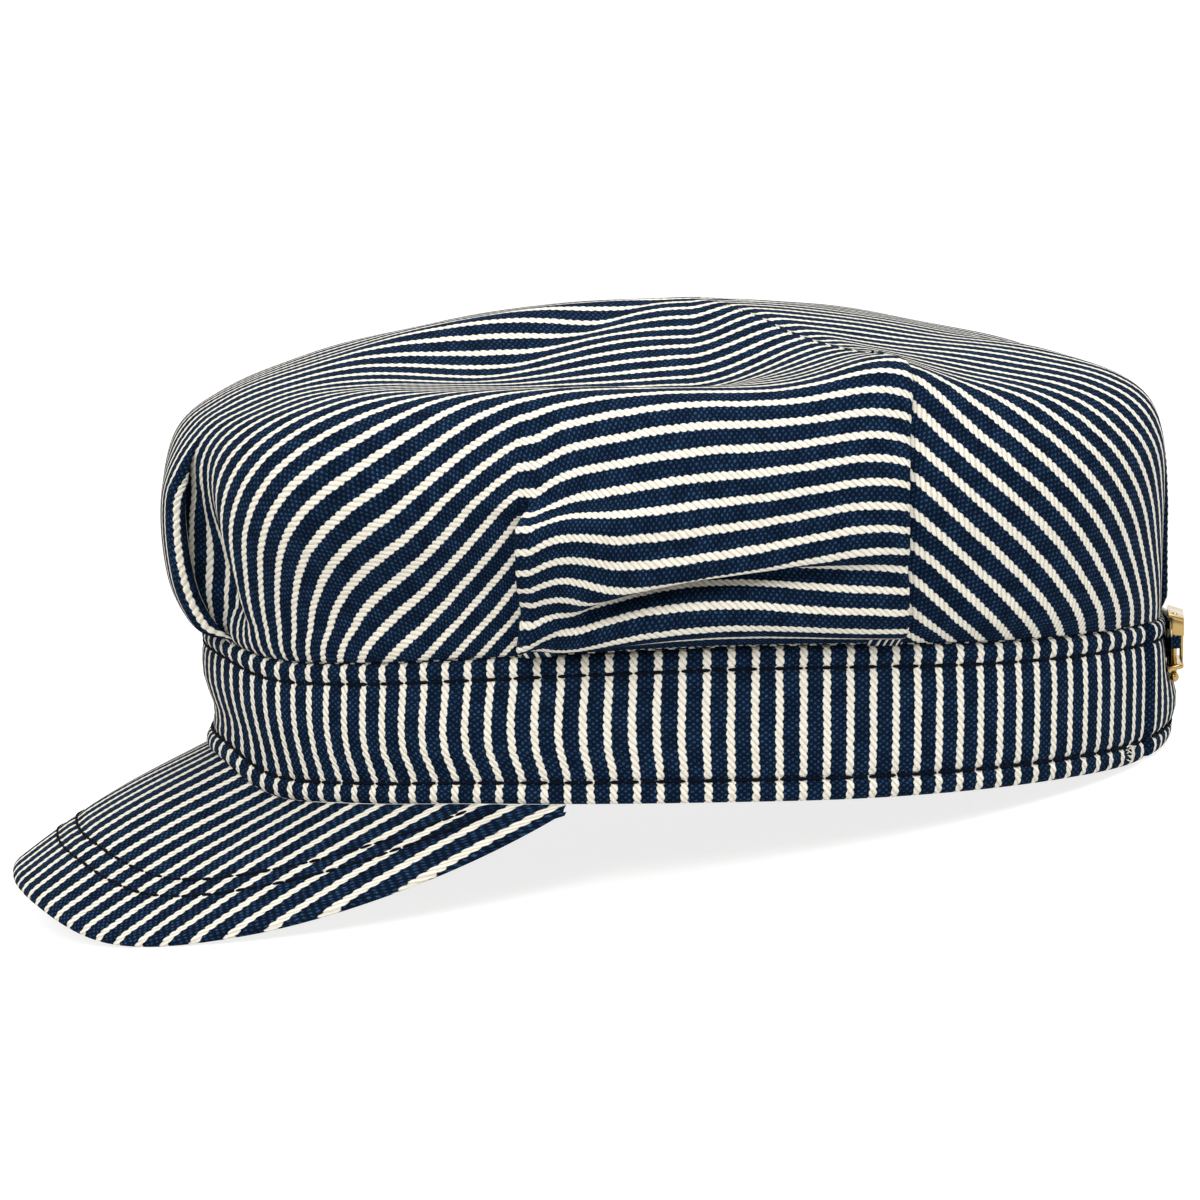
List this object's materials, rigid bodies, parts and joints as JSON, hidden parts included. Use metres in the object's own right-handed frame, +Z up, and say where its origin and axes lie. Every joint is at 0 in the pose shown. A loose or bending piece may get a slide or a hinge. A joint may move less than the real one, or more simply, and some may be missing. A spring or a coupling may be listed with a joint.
{
  "type": "railroad engineer cap",
  "caption": "Soft railroad engineer cap of navy and white striped cotton, with a pleated full crown, stitched head band, curved peak and a brass buckle strap behind.",
  "frame": {"origin": "on the surface the cap rests on, under the middle of what the resting cap covers", "axes": "+Z up, -Y towards the peak, +X towards the wearer's left; the cap leans back about 9 degrees on the back of its band, as it does when it is put down on its peak"},
  "size_m": [0.1932, 0.255, 0.1113],
  "materials": {
    "striped_cotton": "navy cotton twill with off-white stripes 4.8 mm apart",
    "brass": "bright brass, slightly worn"
  },
  "bodies": {
    "root": {"crown": "striped_cotton", "band": "striped_cotton", "band_back": "striped_cotton", "peak": "striped_cotton", "strap": "striped_cotton", "buckle_frame": "brass", "buckle_pin": "brass", "buckle_tab": "striped_cotton"}
  },
  "joints": []
}
